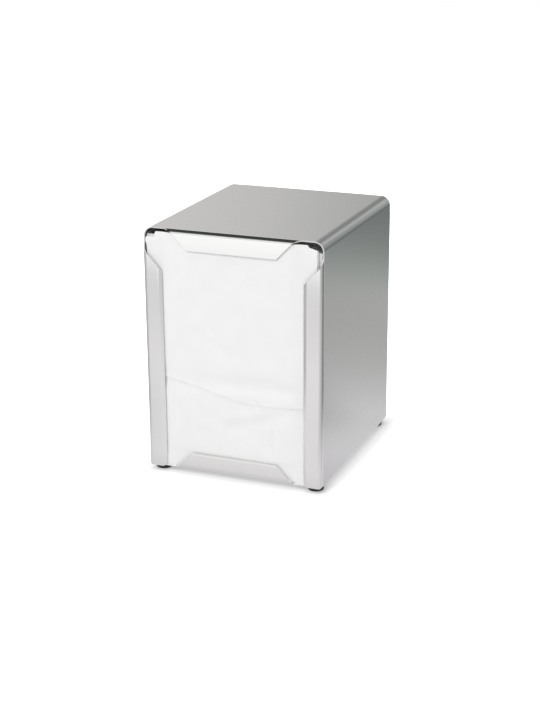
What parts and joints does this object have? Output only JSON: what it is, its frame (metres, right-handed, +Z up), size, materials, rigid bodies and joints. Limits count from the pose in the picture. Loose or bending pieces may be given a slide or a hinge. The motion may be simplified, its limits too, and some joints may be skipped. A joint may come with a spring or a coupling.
{
  "type": "napkin dispenser",
  "caption": "Table-top napkin dispenser: a folded steel sleeve on rubber feet, open at both ends behind lips, with sprung followers pressing the napkins forward.",
  "frame": {"origin": "on the table under the middle of the body, at the undersides of the feet", "axes": "+Z up, -Y out of the front mouth, +Y out of the rear mouth, +X to the right seen from the front"},
  "size_m": [0.105, 0.12, 0.143],
  "materials": {
    "satin_steel": "satin brushed stainless sheet",
    "inner_steel": "mill-finish stainless sheet",
    "spring_steel": "drawn bright wire",
    "zinc_plate": "zinc plated",
    "rivet_aluminium": "plain",
    "foot_rubber": "matt moulded",
    "napkin_tissue": "white embossed tissue"
  },
  "bodies": {
    "housing": {"casing": "satin_steel", "base_plate": "satin_steel", "divider": "inner_steel", "divider_spring_cups": "inner_steel", "divider_rivets": "rivet_aluminium", "foot_front_left": "foot_rubber", "foot_front_right": "foot_rubber", "foot_rear_left": "foot_rubber", "foot_rear_right": "foot_rubber", "foot_rivets": "rivet_aluminium", "foot_washers": "zinc_plate", "front_spring": "spring_steel", "rear_spring": "spring_steel", "front_leading_napkin": "napkin_tissue", "rear_leading_napkin": "napkin_tissue", "front_napkin_stack": "napkin_tissue", "rear_napkin_stack": "napkin_tissue"},
    "front_pusher": {"front_follower": "inner_steel", "front_spring_cup": "inner_steel"},
    "rear_pusher": {"rear_follower": "inner_steel", "rear_spring_cup": "inner_steel"}
  },
  "joints": [
    {"name": "front_follower_slide", "type": "slide", "parent": "housing", "child": "front_pusher", "axis": [0, -1, 0], "range_m": [-0.004, 0.0345], "stiffness_N_per_m": 115, "deforming": ["front_spring", "front_napkin_stack"]},
    {"name": "rear_follower_slide", "type": "slide", "parent": "housing", "child": "rear_pusher", "axis": [0, 1, 0], "range_m": [-0.004, 0.0345], "stiffness_N_per_m": 115, "deforming": ["rear_spring", "rear_napkin_stack"]}
  ]
}
